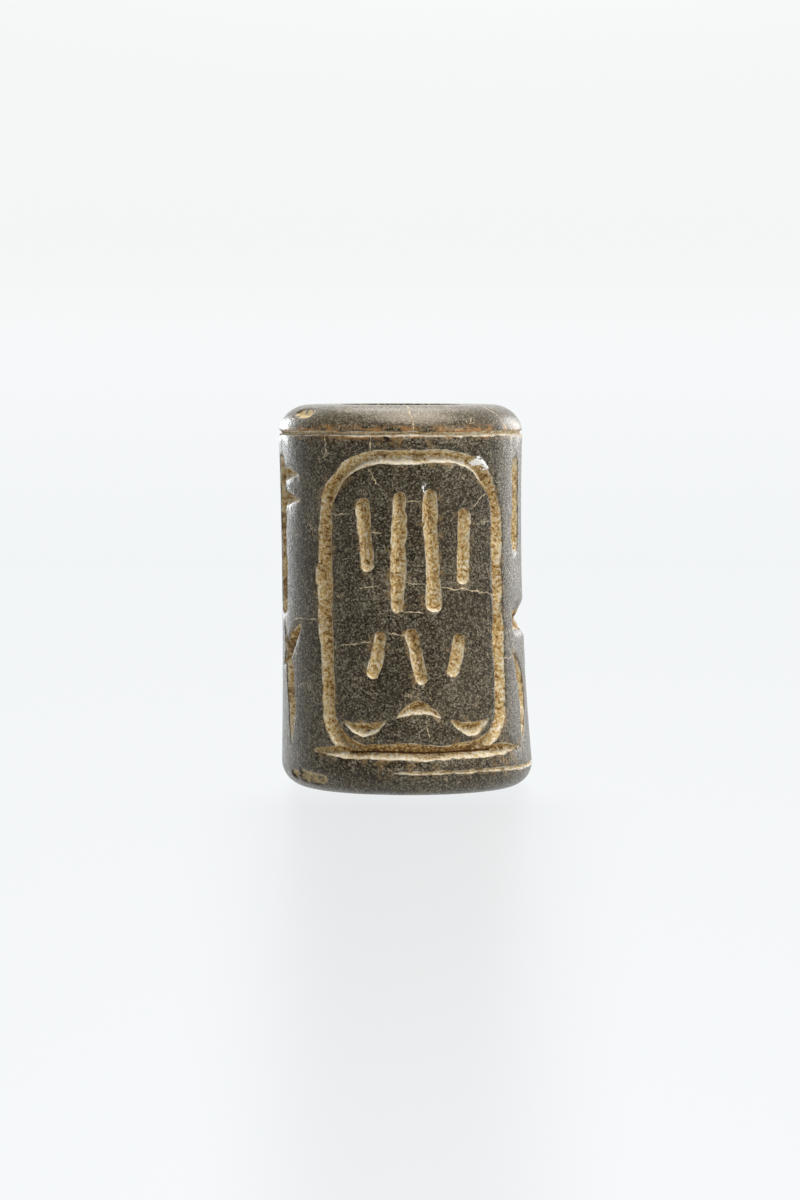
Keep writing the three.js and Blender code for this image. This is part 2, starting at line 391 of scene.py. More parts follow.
def stroke(points, sizes, taper=None):
    reached = [0.0]
    for i in range(1, len(points)):
        reached.append(reached[-1] + (points[i] - points[i - 1]).length)
    taper = taper or sizes.get("taper") or sizes["halfWidth"] * cutEnds["taper"]
    taper = min(taper, reached[-1] / 2)
    cut = []
    for point, distance in zip(points, reached):
        left = min(distance, reached[-1] - distance, taper) / taper
        if sizes.get("pointed"):
            swell = left ** cutEnds["point"]
        else:
            swell = math.sqrt(1 - (1 - left) ** cutEnds["blunt"])
        cut.append((point, sizes["halfWidth"] * swell, sizes["depth"] * swell))
    return cut


def level(name):
    line = lines[name]
    ends = onWall(line["from"], line["height"]), onWall(line["to"], line["height"])
    return stroke(straight(*ends), line)


def ringCut():
    line = lines["headRing"]
    points = straight(onWall(-180, ringHeight), onWall(180, ringHeight))
    return [(p, line["halfWidth"], line["depth"]) for p in points]


def frameCut():
    half = math.radians(panel["halfAngle"]) * plateRadius
    middle = math.radians(panel["middle"]) * plateRadius
    top = ringHeight - panel["belowRing"]
    bottom = barHeight + panel["aboveBar"]
    head, foot, steps = panel["headCorner"], panel["footCorner"], panel["cornerSteps"]
    corners = ((1, -1, foot, -90), (1, 1, head, 0), (-1, 1, head, 90), (-1, -1, foot, 180))
    outline = []
    for right, up, radius, start in corners:
        z = top if up > 0 else bottom
        centre = Vector((middle + right * half - right * radius, z - up * radius))
        for i in range(steps + 1):
            a = math.radians(start + 90 * i / steps)
            outline.append(centre + radius * Vector((math.cos(a), math.sin(a))))
    outline.append(outline[0])
    points = []
    for here, there in zip(outline, outline[1:]):
        points += between(here, there, pathStep)
    cut = []
    for p in points:
        rise = min(max((p.y - top + head) / head, 0), 1)
        cut.append((p, panel["halfWidth"] * (1 - panel["narrow"] * rise), panel["depth"]))
    return cut


def frameSlip():
    slip = panel["slip"]
    return stroke(straight(onWall(*slip["from"]), onWall(*slip["to"])), slip, slip["taper"])


def onPlate(across, up):
    inset = panel["halfWidth"] + panel["margin"]
    low = barHeight + panel["aboveBar"] + inset
    tall = ringHeight - panel["belowRing"] - inset - low
    half = math.radians(panel["halfAngle"]) * plateRadius - inset
    return Vector((math.radians(panel["middle"]) * plateRadius + across * half, low + up * tall))


def standingRow(row):
    cuts = []
    count = len(row["low"])
    for i in range(count):
        across = row["spread"] * (2 * i / (count - 1) - 1)
        lean = row["lean"] * (1 if i % 2 else -1)
        ends = onPlate(across - lean, row["low"][i]), onPlate(across + lean, row["high"][i])
        cuts.append(stroke(straight(*ends), row))
    return cuts


def lyingRow(row):
    cuts = []
    tall = (onPlate(0, 1) - onPlate(0, 0)).y
    taper = row["length"] * (onPlate(1, 0) - onPlate(0, 0)).x
    for i in range(row["count"]):
        middle = (2 * row["length"] + 2 * row["gap"]) * (i - (row["count"] - 1) / 2)
        side = Vector((0, row["bow"] * tall * (1 if i % 2 else -1)))
        ends = onPlate(middle - row["length"], row["at"]), onPlate(middle + row["length"], row["at"])
        cuts.append(stroke(bowed(*ends, side), row, taper))
    return cuts


def hollowColumn(angle, hand):
    hollow, nicks, cross = sideCuts["hollow"], sideCuts["nicks"], sideCuts["crossCut"]
    tall = ringHeight - barHeight
    taper = (cross["high"] - cross["low"]) * tall * cross["taperShare"]
    bow = Vector((hand * math.radians(cross["bow"]) * plateRadius, 0))
    start, end = inField(angle, cross["high"]), inField(angle + hand * cross["reach"], cross["low"])
    fine = [stroke(bowed(start, end, bow), cross, taper)]
    for share in nicks["at"]:
        ends = [inField(angle + hand * nicks[key], share) for key in ("from", "reach")]
        fine.append(stroke(straight(*ends), nicks))
    start = inField(angle + hand * 2 * cross["reach"], cross["high"])
    end = inField(angle, 2 * cross["kneeAt"] - cross["high"])
    broad = [stroke(straight(start, end), cross, taper / 2)]
    broad.append(stroke(straight(inField(angle, hollow["low"]), inField(angle, hollow["high"])), hollow))
    return broad, fine, []


def grooveColumn(angle, hand):
    groove, notch, slash = sideCuts["sideGroove"], sideCuts["sideNotch"], sideCuts["sideSlash"]
    broad = [stroke(straight(inField(angle, groove["low"]), inField(angle, groove["high"])), groove)]
    ends = [inField(angle + hand * notch[key], notch["at"]) for key in ("from", "reach")]
    crossing = [stroke(straight(*ends), notch)]
    bow = Vector((hand * math.radians(slash["bow"]) * plateRadius, 0))
    fine = []
    for turn in (-slash["step"] / 2, slash["step"]):
        start = inField(angle + hand * turn, slash["high"])
        end = inField(angle + hand * (turn + slash["step"] / 3), slash["low"])
        fine.append(stroke(bowed(start, end, bow), slash, (start - end).length / 3))
    return broad, fine, crossing


def chipCut(chip):
    centre = onWall(chip["angle"], chip["run"])
    reach = Vector((chip["length"] / 2, 0))
    return stroke(straight(centre - reach, centre + reach), chip, chip["length"] / 2)


def makeCutObject(name, cuts):
    rows, edges, halfWidths, depths = [], [], [], []
    for cut in cuts:
        for turn in (-1, 0, 1):  # copies a full turn to each side, for cuts that cross the seam
            for i, (point, halfWidth, depth) in enumerate(cut):
                if i:
                    edges.append((len(rows) - 1, len(rows)))
                rows.append((point.x + turn * 2 * math.pi * wallRadius(point.y), point.y, 0))
                halfWidths.append(halfWidth)
                depths.append(depth)
    return pointObject(name, rows, edges, {"halfWidth": halfWidths, "depth": depths})


def makeCutObjects():
    plain = [ringCut(), frameCut(), *standingRow(uprightRow), *standingRow(shortRow)]
    plain += lyingRow(dashRow)
    broad = [level("baseBar"), level("guideLine"), frameSlip()]
    fine, crossing = [], []
    for angle, hand, kind in columns:
        column = (hollowColumn if kind == "hollow" else grooveColumn)(angle, hand)
        for cuts, more in zip((broad, fine, crossing), column):
            cuts += more
    return {
        "Panel Cuts": makeCutObject("panelCuts", plain),
        "Broad Cuts": makeCutObject("broadCuts", broad),
        "Fine Cuts": makeCutObject("fineCuts", fine),
        "Crossing Cuts": makeCutObject("crossingCuts", crossing),
        "Chips": makeCutObject("chips", [chipCut(chip) for chip in chips]),
    }


# Geometry nodes: the turned stone, its cuts and the marks that the material reads

cutShape = {
    "roundness": 1.4,  # 1 cuts a plain V, more cuts a rounder floor
    "sway": 0.14,  # how far a cut's width varies along it
    "swayScale": 0.45,
    "swayDetail": 1.0,
    "swayRange": (0.3, 0.7),
    "leastWidth": 0.02,
    "wobbles": ((0.35, 1.0), (2.2, 0.4)),  # patches to a millimetre, and share of the stone's wobble
    "floorGrain": (3.0, 3.0, 0.6),
    "floorRange": (0.25, 0.75, 0.8, 1.12),
    "farOff": 9.0,  # how far the nearest lip is at most
}
cutLayers = {  # cuts that cross are in different layers: how worn a lip is, and the share filled with earth
    "Panel Cuts": (1.0, 1.0),
    "Broad Cuts": (1.1, 0.96),
    "Fine Cuts": (1.1, 0.96),
    "Crossing Cuts": (1.7, 0.62),
    "Chips": (1.0, 1.0),
}
cutInputs = [("Profile", "Object"), *[(label, "Object") for label in cutLayers], ("Wobble", "Float")]


def storedValue(tree, name):
    made = addNode(tree, "GeometryNodeInputNamedAttribute", {"Name": name}, data_type="FLOAT")
    return made.outputs["Attribute"]


def sampled(tree, geometry, name, index):
    if name == "position":
        kind, value = "FLOAT_VECTOR", addNode(tree, "GeometryNodeInputPosition").outputs[0]
    else:
        kind, value = "FLOAT", storedValue(tree, name)
    made = addNode(tree, "GeometryNodeSampleIndex", data_type=kind, domain="POINT")
    plug(tree, geometry, made.inputs["Geometry"])
    plug(tree, value, made.inputs["Value"])
    plug(tree, index, made.inputs["Index"])
    return made.outputs["Value"]


def nearestIndex(tree, geometry, where):
    inputs = {"Geometry": geometry, "Sample Position": where}
    return addNode(tree, "GeometryNodeSampleNearest", inputs, domain="POINT").outputs["Index"]


def makeNearestCutGroup():
    inputs = [("Cuts", "Geometry"), ("Place", "Vector"), ("Wear", "Float"), ("Filled", "Float")]
    outputs = [("Depth", "Float"), ("Lip", "Float")]
    tree, given, result = newTree("nearestCut", "GeometryNodeTree", inputs, outputs)
    index = nearestIndex(tree, given["Cuts"], given["Place"])
    distance = vectorCalc(tree, "DISTANCE", given["Place"], sampled(tree, given["Cuts"], "position", index))
    sway = noise(tree, given["Place"], cutShape["swayScale"], cutShape["swayDetail"])
    sway = remap(tree, sway, *cutShape["swayRange"], 1 - cutShape["sway"], 1 + cutShape["sway"])
    halfWidth = times(tree, sampled(tree, given["Cuts"], "halfWidth", index), sway)
    share = calc(tree, "DIVIDE", distance, calc(tree, "MAXIMUM", halfWidth, cutShape["leastWidth"]))
    edge = calc(tree, "POWER", calc(tree, "MINIMUM", share, 1.0), cutShape["roundness"])
    carved = calc(tree, "POWER", minus(tree, 1.0, edge), given["Wear"])
    depth = times(tree, carved, sampled(tree, given["Cuts"], "depth", index))
    plug(tree, depth, result["Depth"])
    filled = times(tree, halfWidth, given["Filled"])
    plug(tree, minus(tree, distance, filled), result["Lip"])
    return tree


def makeWallPlaceGroup():
    tree, given, result = newTree("wallPlace", "GeometryNodeTree",
                                  [("Profile", "Geometry"), ("Position", "Vector"), ("Wobble", "Float")],
                                  [("Place", "Vector"), ("Out", "Vector"), ("Outside", "Float")])
    x, y, z = separate(tree, given["Position"])
    angle = calc(tree, "ARCTAN2", x, times(tree, y, -1.0))
    radius = calc(tree, "SQRT", calc(tree, "ADD", times(tree, x, x), times(tree, y, y)))
    index = nearestIndex(tree, given["Profile"], combine(tree, radius, 0.0, z))
    across = times(tree, angle, sampled(tree, given["Profile"], "wallRadius", index))
    place = combine(tree, across, sampled(tree, given["Profile"], "runHeight", index), 0.0)
    for scale, share in cutShape["wobbles"]:
        stray = noise(tree, given["Position"], scale, output="Color")
        stray = vectorCalc(tree, "SUBTRACT", stray, (0.5, 0.5, 0.5))
        amount = times(tree, given["Wobble"], 2 * share)
        place = vectorCalc(tree, "ADD", place, vectorCalc(tree, "SCALE", stray, amount))
    place = vectorCalc(tree, "MULTIPLY", place, (1, 1, 0))  # back onto the unrolled wall
    radial = sampled(tree, given["Profile"], "outRadial", index)
    out = aroundAxis(tree, radial, angle, sampled(tree, given["Profile"], "outUp", index))
    plug(tree, place, result["Place"])
    plug(tree, out, result["Out"])
    plug(tree, sampled(tree, given["Profile"], "outside", index), result["Outside"])
    return tree


def objectGeometry(tree, socket):
    made = addNode(tree, "GeometryNodeObjectInfo", {"Object": socket}, transform_space="ORIGINAL")
    return made.outputs["Geometry"]


def cutAt(tree, given, label, place, nearestCut):
    wear, filled = cutLayers[label]
    inputs = {"Cuts": objectGeometry(tree, given[label]), "Place": place, "Wear": wear, "Filled": filled}
    return addGroup(tree, nearestCut, inputs)


def deepestCut(tree, given, place, nearestCut):
    depth, lip = 0.0, cutShape["farOff"]
    for label in [label for label in cutLayers if label != "Chips"]:
        found = cutAt(tree, given, label, place, nearestCut)
        depth = calc(tree, "MAXIMUM", found["Depth"], depth)
        lip = calc(tree, "MINIMUM", found["Lip"], lip)
    return depth, lip


def makeFormTree(wallPlace, nearestCut):
    inputs = [("Geometry", "Geometry"), *cutInputs, ("Columns", "Int"), ("Uneven", "Float"),
              ("Pitting", "Float")]
    tree, given, result = newTree("turnAndCarve", "GeometryNodeTree", inputs, [("Geometry", "Geometry")])
    profile = objectGeometry(tree, given["Profile"])
    ring = addNode(tree, "GeometryNodeMeshToCurve", {"Mesh": profile}).outputs["Curve"]
    inputs = {"Resolution": given["Columns"], "Radius": stone["spinRadius"]}
    circle = addNode(tree, "GeometryNodeCurvePrimitiveCircle", inputs).outputs["Curve"]
    capture = addNode(tree, "GeometryNodeCaptureAttribute", {"Geometry": circle}, domain="POINT")
    capture.capture_items.new("FLOAT", "Turn")
    turn = addNode(tree, "GeometryNodeSplineParameter").outputs["Factor"]
    plug(tree, turn, capture.inputs["Turn"])
    inputs = {"Curve": capture.outputs["Geometry"], "Profile Curve": ring}
    turned = addNode(tree, "GeometryNodeCurveToMesh", inputs)
    angle = timesPlus(tree, capture.outputs["Turn"], 2 * math.pi, -math.pi)
    spun = aroundAxis(tree, storedValue(tree, "ringRadius"), angle, storedValue(tree, "ringHeight"))
    inputs = {"Geometry": turned.outputs["Mesh"], "Position": spun}
    placed = addNode(tree, "GeometryNodeSetPosition", inputs)
    position = addNode(tree, "GeometryNodeInputPosition").outputs[0]
    where = addGroup(tree, wallPlace, {"Profile": profile, "Position": position, "Wobble": given["Wobble"]})
    depth = deepestCut(tree, given, where["Place"], nearestCut)[0]
    floor = remap(tree, noise(tree, position, *cutShape["floorGrain"]), *cutShape["floorRange"])
    chipped = cutAt(tree, given, "Chips", where["Place"], nearestCut)["Depth"]
    depth = calc(tree, "MAXIMUM", times(tree, depth, floor), chipped)
    swell = minus(tree, noise(tree, position, stone["unevenScale"]), stone["unevenMiddle"])
    swell = times(tree, swell, given["Uneven"])
    pits = remap(tree, noise(tree, position, stone["pitScale"]), *stone["pitRange"])
    pits = times(tree, pits, given["Pitting"])
    drop = minus(tree, minus(tree, swell, depth), pits)
    drop = calc(tree, "MINIMUM", times(tree, drop, where["Outside"]), 0.0)
    offset = vectorCalc(tree, "SCALE", where["Out"], drop)
    inputs = {"Geometry": placed.outputs["Geometry"], "Offset": offset}
    carved = addNode(tree, "GeometryNodeSetPosition", inputs)
    real = addNode(tree, "GeometryNodeRealizeInstances", {"Geometry": carved.outputs["Geometry"]})
    plug(tree, real.outputs["Geometry"], result["Geometry"])
    return tree


def makeMarkTree(wallPlace, nearestCut):
    inputs = [("Geometry", "Geometry"), *cutInputs, ("Head Lean", "Float"), ("Foot Lean", "Float"),
              ("Height", "Float"), ("Unit", "Float"), ("Stone", "Material")]
    tree, given, result = newTree("markAndLean", "GeometryNodeTree", inputs, [("Geometry", "Geometry")])
    position = addNode(tree, "GeometryNodeInputPosition").outputs[0]
    profile = objectGeometry(tree, given["Profile"])
    where = addGroup(tree, wallPlace, {"Profile": profile, "Position": position, "Wobble": given["Wobble"]})
    depth, lip = deepestCut(tree, given, where["Place"], nearestCut)
    chipped = cutAt(tree, given, "Chips", where["Place"], nearestCut)["Depth"]
    geometry = given["Geometry"]
    marks = {"cutDepth": depth, "lipOffset": lip, "chipDepth": chipped, "outside": where["Outside"]}
    for name, value in marks.items():
        inputs = {"Geometry": geometry, "Name": name, "Value": value}
        stored = addNode(tree, "GeometryNodeStoreNamedAttribute", inputs, data_type="FLOAT", domain="POINT")
        geometry = stored.outputs[0]
    x, y, z = separate(tree, position)
    spread = minus(tree, given["Foot Lean"], given["Head Lean"])
    lean = leanAt(tree, z, given["Height"], given["Head Lean"], spread)
    leaned = vectorCalc(tree, "SCALE", combine(tree, calc(tree, "ADD", x, lean), y, z), given["Unit"])
    placed = addNode(tree, "GeometryNodeSetPosition", {"Geometry": geometry, "Position": leaned})
    smooth = addNode(tree, "GeometryNodeSetShadeSmooth", {"Geometry": placed.outputs["Geometry"]})
    real = addNode(tree, "GeometryNodeRealizeInstances", {"Geometry": smooth.outputs[0]})
    inputs = {"Geometry": real.outputs["Geometry"], "Material": given["Stone"]}
    plug(tree, addNode(tree, "GeometryNodeSetMaterial", inputs).outputs["Geometry"], result["Geometry"])
    return tree


def addTreeModifier(piece, tree, values):
    modifier = piece.modifiers.new(tree.name, "NODES")
    modifier.node_group = tree
    for item in tree.interface.items_tree:
        if item.item_type == "SOCKET" and item.in_out == "INPUT" and item.name in values:
            modifier[item.identifier] = values[item.name]


def makeSeal(material):
    profile = makeProfile()
    cutObjects = makeCutObjects()
    wallPlace, nearestCut = makeWallPlaceGroup(), makeNearestCutGroup()
    shared = {"Profile": profile, "Wobble": stone["wobble"], **cutObjects}
    rough = addObject("roughSeal", bpy.data.meshes.new("roughSeal"))
    addTreeModifier(rough, makeFormTree(wallPlace, nearestCut), {
        **shared, "Columns": stone["columns"], "Uneven": stone["uneven"], "Pitting": stone["pitting"]})
    thin = rough.modifiers.new("thin", "DECIMATE")
    rows = len(profile.data.vertices)
    thin.ratio = stone["triangles"] / (2 * rows * stone["columns"])
    addTreeModifier(rough, makeMarkTree(wallPlace, nearestCut), {
        **shared, "Head Lean": stone["headLean"], "Foot Lean": stone["footLean"],
        "Height": stone["height"], "Unit": mm, "Stone": material})
    evaluated = rough.evaluated_get(bpy.context.evaluated_depsgraph_get())
    mesh = bpy.data.meshes.new_from_object(evaluated)
    mesh.name = "seal_stone"
    seal = addObject("seal_stone", mesh)
    for helper in (rough, profile, *cutObjects.values()):
        bpy.data.objects.remove(helper)
    print("seal carved:", len(mesh.polygons), "faces")
    return seal


# The floor, the sweep behind it and the light

studio = {
    "floorHalfWidth": 900.0,  # mm
    "floorFront": 140.0,
    "floorBack": 260.0,
    "sweepRadius": 140.0,
    "sweepSteps": 24,
    "sweepTop": 520.0,
    "floorGlow": (0.825, 0.845, 0.855),
    "sweepGlow": (0.90, 0.915, 0.915),
    "sweepStart": 60.0,  # height by which the glow has changed from the floor's to the sweep's
    "skyGlow": (1.0, 1.01, 1.0),  # of the sweep's upper part, above the picture
    "skyStart": 110.0,
    "floorSheen": 0.08,  # share of the light that the floor mirrors
    "floorBlur": 0.3,
    "shade": 0.92,  # what is left of the glow in the painted shade before the seal, standing in for its blurred reflection in the floor
    "shadeSpread": (0.012, 0.06),  # half widths of that painted shade, as shares of the distance to the lens
    "airColour": (1.0, 0.97, 0.93),
    "airGlow": 0.05,
}
lamps = (  # name, place in mm, size in mm, watts, colour; each aims at the middle of the seal
    ("topSoftbox", (45, -70, 300), 270, 1.6, (1.0, 0.98, 0.94)),
    ("backSoftbox", (0, 120, 250), 170, 0.36, (1.0, 0.99, 0.98)),
    ("frontSoftbox", (290, -230, 150), 160, 0.5, (1.0, 0.95, 0.88)),
    ("rightCard", (269, 269, 50), 300, 1.0, (0.98, 0.99, 1.0)),
    ("leftCard", (-205, 322, 45), 175, 0.68, (0.90, 0.96, 1.0)),
)


def makeStageMaterial():
    material = bpy.data.materials.new("paleSweep")
    material.use_nodes = True
    tree = material.node_tree
    tree.nodes.remove(tree.nodes["Principled BSDF"])
    x, y, height = separate(tree, addNode(tree, "ShaderNodeTexCoord").outputs["Object"])
    rise = remap(tree, height, 0.0, studio["sweepStart"] * mm)
    glow = tint(tree, rise, (*studio["floorGlow"], 1), studio["sweepGlow"])
    sky = remap(tree, height, studio["skyStart"] * mm, 2 * studio["skyStart"] * mm)
    glow = tint(tree, sky, glow, studio["skyGlow"])
    # painted shade: the floor's glow is darkened in a wedge before the seal, in place of its blurred
    # reflection
    fromLens = calc(tree, "ADD", y, photo["distance"] * mm)
    aside = calc(tree, "ABSOLUTE", calc(tree, "DIVIDE", x, calc(tree, "MAXIMUM", fromLens, mm)))
    shade = remap(tree, aside, studio["shadeSpread"][1], studio["shadeSpread"][0])
    shade = times(tree, shade, remap(tree, y, 0.0, -2 * stone["footRadius"] * mm))
    glow = blend(tree, shade, glow, vectorCalc(tree, "SCALE", glow, studio["shade"]))
    light = addNode(tree, "ShaderNodeEmission", {"Color": glow})
    sheen = (studio["floorSheen"],) * 3
    gloss = addNode(tree, "ShaderNodeBsdfGlossy", {"Color": (*sheen, 1), "Roughness": studio["floorBlur"]})
    both = addNode(tree, "ShaderNodeAddShader", {0: light.outputs[0], 1: gloss.outputs[0]})
    plug(tree, both.outputs[0], tree.nodes["Material Output"].inputs["Surface"])
    return material


def makeStage():
    half, front, back = studio["floorHalfWidth"], -studio["floorFront"], studio["floorBack"]
    radius, steps = studio["sweepRadius"], studio["sweepSteps"]
    outline = [(front, 0.0)]
    for i in range(steps + 1):
        a = math.pi / 2 * i / steps
        outline.append((back + radius * math.sin(a), radius * (1 - math.cos(a))))
    outline.append((back + radius, studio["sweepTop"]))
    rows = []
    for y, z in outline:
        rows += [(-half * mm, y * mm, z * mm), (half * mm, y * mm, z * mm)]
    faces = [(2 * i, 2 * i + 1, 2 * i + 3, 2 * i + 2) for i in range(len(outline) - 1)]
    mesh = bpy.data.meshes.new("floor_sweep")
    mesh.from_pydata(rows, [], faces)
    mesh.shade_smooth()
    mesh.materials.append(makeStageMaterial())
    sweep = addObject("floor_sweep", mesh)


def makeLight():
    middle = Vector((0, 0, stone["height"] / 2))
    for name, place, size, watts, colour in lamps:
        data = bpy.data.lights.new(name, "AREA")
        data.shape = "DISK"
        data.size = size * mm
        data.energy = watts
        data.color = colour
        lamp = addObject(name, data)
        lamp.location = Vector(place) * mm
        lamp.rotation_euler = (middle - Vector(place)).to_track_quat("-Z", "Y").to_euler()
    world = bpy.data.worlds.new("studioAir")
    world.use_nodes = True
    tree = world.node_tree
    dim = vectorCalc(tree, "SCALE", studio["airColour"], studio["airGlow"])
    seen = addNode(tree, "ShaderNodeLightPath").outputs["Is Camera Ray"]
    air = tint(tree, seen, dim, studio["floorGlow"])
    plug(tree, air, tree.nodes["Background"].inputs["Color"])
    bpy.context.scene.world = world
    bpy.context.scene.view_settings.view_transform = "Standard"


# The stone's finish: speckled stone, earth in the cuts with some painted light and shade, worn lips,
# hairline cracks and white spots

finish = {
    "tones": (  # from the darkest fleck to the palest, with the share where each is reached
        (0.0, (0.005, 0.003, 0.001)),
        (0.3, (0.020, 0.014, 0.007)),
        (0.5, (0.056, 0.045, 0.026)),
        (0.72, (0.107, 0.093, 0.062)),
        (1.0, (0.215, 0.195, 0.145)),
    ),
    "middleTone": 0.46,
    "swings": {"grit": 2.2, "fleck": 0.8, "clump": 0.4, "cloud": 0.7},  # how far each pattern moves the tone
    "fleckScale": 10.5,  # flecks to a millimetre
    "polish": 0.27,
    "scuff": 0.16,
    "streakStretch": (7.0, 0.5),  # across and up
    "streakSwing": 0.8,
    "streakHeight": 0.016,
    "rubbedPolish": -0.05,  # the head's edge is smoother than the wall
    "rubbedShare": 0.45,
    "rubbedColour": (0.105, 0.092, 0.068),
    "boreRoughness": 0.9,
    "sheen": 0.4,  # 0.5 is a plain stone's
    "sheenTint": (1.0, 0.88, 0.73, 1),
    "refraction": 1.55,
    "grainHeight": 0.01,
}
earth = {
    "tones": (
        (0.0, (0.085, 0.038, 0.010)),
        (0.28, (0.34, 0.185, 0.052)),
        (0.5, (0.52, 0.37, 0.145)),
        (0.75, (0.59, 0.50, 0.32)),
        (1.0, (0.70, 0.665, 0.585)),
    ),
    "middleTone": 0.59,
    "gritSwing": 3.2,
    "lumpSwing": 0.5,
    "paintedLightFromAbove": 0.34,  # painted light from above: paler where it faces up, darker where it faces down
    "floor": -0.14,  # painted shade: darker where it is deep
    "paintedBarShadow": -1.0,  # painted shadow: darkest along the deepest part of the base bar, under its upper lip
    "frameTop": 0.24,  # painted light: palest in the frame's top channel, as if its floor were lit from above
    "lostTone": 0.55,  # how much darker it is where most has fallen out
    "lip": (0.66, 0.60, 0.47),
    "lipWidth": 0.055,
    "lipFade": (0.85, 0.3),  # shares of that width
    "lipShare": 0.8,
    "edgeStray": 0.28,  # how unevenly the earth ends at a lip
    "roughness": 0.85,
    "grainHeight": 0.03,
    "stain": (0.30, 0.19, 0.08),
    "stainReach": 0.55,
    "stainShare": 0.6,
    "ringStain": (0.33, 0.17, 0.06),
    "smearStretch": 2.5,
    "chip": (0.50, 0.38, 0.19),
    "chipShare": 0.9,
    "chipTone": 0.14,
    "chipStray": 0.5,
    "chipRoughness": 0.3,
}
grains = {  # the patterns: patches to a millimetre, detail and roughness
    "cloud": (0.3, 4.0, 0.62),
    "grit": (8.4, 2.0, 0.6),
    "clump": (1.68, 2.0, 0.6),
    "scuffs": (1.6, 4.0, 0.65),
    "streaks": (1.0, 3.0, 0.6),
    "stain": (1.1, 4.0, 0.7),
    "smear": (0.9, 4.0, 0.7),
    "crackStray": (1.3, 4.0, 0.65),
    "crackGap": (3.2, 2.0, 0.5),
    "webBend": (0.8, 4.0, 0.6),
    "webPatch": (0.45, 2.0, 0.5),
    "chipEdge": (1.9, 4.0, 0.7),
    "chipDirt": (2.4, 3.0, 0.7),
    "earthGrit": (5.0, 3.0, 0.85),
    "earthLumps": (0.9, 3.0, 0.6),
    "earthEdge": (2.2, 3.0, 0.7),
    "earthLoss": (0.7, 4.0, 0.65),
    "wornLip": (1.7, 3.0, 0.5),
    "spotShift": (2.9, 3.0, 0.6),
    "spotPatch": (2.6, 4.0, 0.7),
}
fades = {  # where a mask starts and where it is full, and what it reaches there if that isn't 0 and 1
    "rubbed": (ringHeight + 0.2, ringHeight + 1.0),
    "stain": (0.5, 0.68),
    "beltAbove": (ringHeight + 0.8, ringHeight + 0.1),
    "beltBelow": (ringHeight - 0.5, ringHeight),
    "smear": (0.44, 0.6),
    "crackStart": (-0.08, 0.06),
    "crackEnd": (1.08, 0.94),
    "crackGap": (0.32, 0.5, 0.35, 1.0),
    "web": (0.006, 0.002),
    "webPatch": (0.54, 0.62),
    "chipEdge": (0.06, 0.12),
    "chipReach": (0.0, 0.03),
    "chipDirt": (0.36, 0.56),
    "earthEdge": (0.0, -0.1),
    "paintedDeepShade": (0.1, 0.5),
    "paintedBarShadowDepth": (0.56, 0.6),
    "paintedBarShadowHeight": (barHeight + 1.0, barHeight + 0.6),
    "frameTop": (20.2, 21.4),
    "backLoss": (-5.5, 1.0, 0.0, 0.09),
    "earthLoss": (0.55, 0.66, 0.0, 0.75),
    "wornLip": (0.42, 0.6),
    "spotPatch": (0.4, 0.6),
    "spotReach": (0.0, 0.15),
}
cracking = {
    "colour": (0.62, 0.49, 0.31),
    "width": 0.045,
    "core": 0.2,  # share of the width where a crack is at its palest
    "stray": 0.7,
    "depth": -0.03,
    "webScale": 0.28,
    "webBend": 2.2,
    "webShare": 0.7,
}
levelCracks = (  # arc from, height there, arc to, height there, all in mm on the unrolled wall
    (-2.75, 13.39, -1.36, 13.61),
    (-0.33, 13.74, 1.2, 13.67),
    (2.5, 13.46, 6.59, 12.89),
    (-0.42, 11.96, 1.3, 11.75),
    (-4.16, 9.66, -2.14, 9.97),
    (-1.09, 10.5, 1.14, 10.43),
    (-2.35, 16.96, -1.3, 16.91),
    (-0.43, 18.95, 1.16, 18.88),
    (-4.83, 18.06, -3.42, 18.09),
    (4.83, 18.45, 6.03, 19.44),
    (-8.6, 11.2, -6.3, 11.35),
    (6.9, 8.7, 8.6, 8.75),
)
standingCracks = (  # height from, arc there, height to, arc there
    (20.02, -1.57, 20.91, -2.01),
    (23.4, 0.9, 25.1, 0.52),
    (21.0, 9.6, 25.1, 7.3),
    (22.1, -1.92, 23.0, -1.91),
    (21.9, -5.1, 23.1, -5.15),
    (3.88, 1.54, 4.9, 1.3),
)
whiteSpots = ((5.1, 21.55, 6.2, 21.0), (1.35, 19.95, 1.6, 19.3))  # as the level cracks
spotting = {"colour": (1.0, 1.0, 1.0), "width": 0.34, "shift": 1.6, "stray": 1.6, "patch": 2.4}


def blend(tree, factor, first, second):
    made = addNode(tree, "ShaderNodeMix", {"Factor": factor}, data_type="RGBA")
    plug(tree, first, made.inputs["A"])
    plug(tree, second, made.inputs["B"])
    return made.outputs["Result"]


def tint(tree, factor, colour, over):
    return blend(tree, factor, colour, (*over, 1))


def toneRamp(tree, tone, tones):
    made = addNode(tree, "ShaderNodeValToRGB", {"Fac": tone})
    steps = made.color_ramp.elements
    while len(steps) < len(tones):
        steps.new(0.5)
    for step, (share, colour) in zip(steps, tones):
        step.position = share
        step.color = (*colour, 1)
    return made.outputs["Color"]


def grain(tree, place, name, output="Fac"):
    return noise(tree, place, *grains[name], output)


def fade(tree, value, name):
    return remap(tree, value, *fades[name])


def swing(tree, pattern, amount, base=0.0):  # a pattern's swing to both sides of its middle
    return timesPlus(tree, minus(tree, pattern, 0.5), amount, base)


def makeWallSheetGroup():
    tree, given, result = newTree("wallSheet", "ShaderNodeTree", [("Place", "Vector")],
                                  [("Across", "Float"), ("Up", "Float")])
    x, y, z = separate(tree, given["Place"])
    spread = stone["footLean"] - stone["headLean"]
    lean = leanAt(tree, z, stone["height"], stone["headLean"], spread)
    angle = calc(tree, "ARCTAN2", minus(tree, x, lean), times(tree, y, -1.0))
    plug(tree, times(tree, angle, plateRadius), result["Across"])
    plug(tree, z, result["Up"])
    return tree


